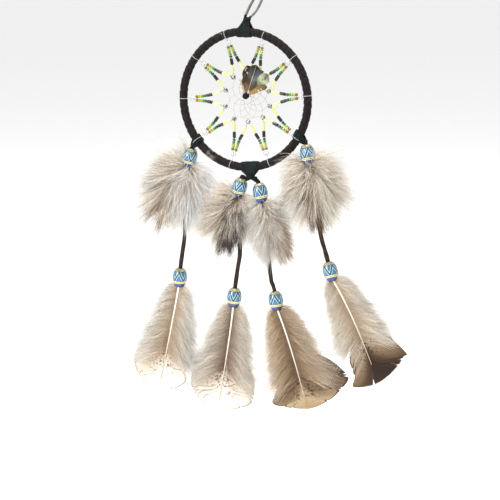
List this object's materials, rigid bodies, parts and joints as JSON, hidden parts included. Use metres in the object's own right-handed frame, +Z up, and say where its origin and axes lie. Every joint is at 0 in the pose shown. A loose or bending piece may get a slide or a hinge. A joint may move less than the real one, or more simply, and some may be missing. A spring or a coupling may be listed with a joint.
{
  "type": "dream catcher",
  "caption": "Dream catcher: suede-wrapped hoop with a beaded thread web, hung from a lace loop, with four strands of painted beads, down tufts and feathers.",
  "frame": {"origin": "where a nail or hook bears on the inside of the hanging loop's top", "axes": "+Z up; the hoop stands in the XZ plane and its front faces -Y; +X to the right seen from the front"},
  "size_m": [0.1958, 0.025, 0.3221],
  "materials": {
    "suede_wrap": "matte",
    "suede_binding": "matte",
    "suede_lace": "matte",
    "wire": "satin",
    "thread_clear": "satin",
    "thread_web": "matte",
    "glass_clear": "gloss",
    "glass_amber": "gloss",
    "glass_gold": "gloss",
    "glass_light_green": "gloss",
    "glass_green": "gloss",
    "glass_dark_green": "gloss",
    "glass_black": "gloss",
    "glass_yellow": "gloss",
    "silver": "polished",
    "knot_suede": "matte",
    "feather_dark": "satin",
    "quill_pale": "satin",
    "bead_paint": "gloss",
    "down": "matte",
    "vane_cream": "matte",
    "vane_bronze": "matte",
    "quill_ivory": "satin"
  },
  "bodies": {
    "loop": {"hanging_loop": "suede_lace"},
    "hoop": {"hoop_ring": "wire", "hoop_wrap": "suede_wrap", "top_binding": "suede_binding", "bottom_binding": "suede_binding", "left_binding": "suede_binding", "right_binding": "suede_binding", "anchor_threads": "thread_clear", "bead_threads": "thread_clear", "web_thread": "thread_web", "clear_beads": "glass_clear", "amber_beads": "glass_amber", "gold_beads": "glass_gold", "light_green_beads": "glass_light_green", "green_beads": "glass_green", "dark_green_beads": "glass_dark_green", "black_bugles": "glass_black", "yellow_bugles": "glass_yellow", "silver_beads": "silver", "centre_knot": "knot_suede", "centre_vane": "feather_dark", "centre_quill": "quill_pale"},
    "strand_left": {"upper_thong_left": "suede_lace", "upper_bead_left": "bead_paint", "tuft_left": "down"},
    "feather_left": {"lower_thong_left": "suede_lace", "lower_bead_left": "bead_paint", "vane_left": "vane_cream", "quill_left": "quill_ivory"},
    "strand_mid_left": {"upper_thong_mid_left": "suede_lace", "upper_bead_mid_left": "bead_paint", "tuft_mid_left": "down"},
    "feather_mid_left": {"lower_thong_mid_left": "suede_lace", "lower_bead_mid_left": "bead_paint", "vane_mid_left": "vane_cream", "quill_mid_left": "quill_ivory"},
    "strand_mid_right": {"upper_thong_mid_right": "suede_lace", "upper_bead_mid_right": "bead_paint", "tuft_mid_right": "down"},
    "feather_mid_right": {"lower_thong_mid_right": "suede_lace", "lower_bead_mid_right": "bead_paint", "vane_mid_right": "vane_bronze", "quill_mid_right": "quill_ivory"},
    "strand_right": {"upper_thong_right": "suede_lace", "upper_bead_right": "bead_paint", "tuft_right": "down"},
    "feather_right": {"lower_thong_right": "suede_lace", "lower_bead_right": "bead_paint", "vane_right": "vane_bronze", "quill_right": "quill_ivory"}
  },
  "joints": [
    {"name": "hoop_swing", "type": "hinge", "parent": "loop", "child": "hoop", "pos_m": [-0.0139, 0, -0.0569], "axis": [1, 0, 0], "range_deg": [-60, 60]},
    {"name": "strand_swing_left", "type": "hinge", "parent": "hoop", "child": "strand_left", "pos_m": [-0.0539, 0, -0.1424], "axis": [1, 0, 0], "range_deg": [-45, 45]},
    {"name": "feather_swing_left", "type": "hinge", "parent": "strand_left", "child": "feather_left", "pos_m": [-0.0601, 0, -0.2029], "axis": [1, 0, 0], "range_deg": [-60, 60]},
    {"name": "strand_swing_mid_left", "type": "hinge", "parent": "hoop", "child": "strand_mid_left", "pos_m": [-0.0173, 0, -0.1608], "axis": [1, 0, 0], "range_deg": [-45, 45]},
    {"name": "feather_swing_mid_left", "type": "hinge", "parent": "strand_mid_left", "child": "feather_mid_left", "pos_m": [-0.0191, 0, -0.2114], "axis": [1, 0, 0], "range_deg": [-60, 60]},
    {"name": "strand_swing_mid_right", "type": "hinge", "parent": "hoop", "child": "strand_mid_right", "pos_m": [-0.0059, 0, -0.1636], "axis": [1, 0, 0], "range_deg": [-45, 45]},
    {"name": "feather_swing_mid_right", "type": "hinge", "parent": "strand_mid_right", "child": "feather_mid_right", "pos_m": [0.0035, 0, -0.2279], "axis": [1, 0, 0], "range_deg": [-60, 60]},
    {"name": "strand_swing_right", "type": "hinge", "parent": "hoop", "child": "strand_right", "pos_m": [0.0279, 0, -0.1364], "axis": [1, 0, 0], "range_deg": [-45, 45]},
    {"name": "feather_swing_right", "type": "hinge", "parent": "strand_right", "child": "feather_right", "pos_m": [0.0391, 0, -0.1969], "axis": [1, 0, 0], "range_deg": [-60, 60]}
  ]
}
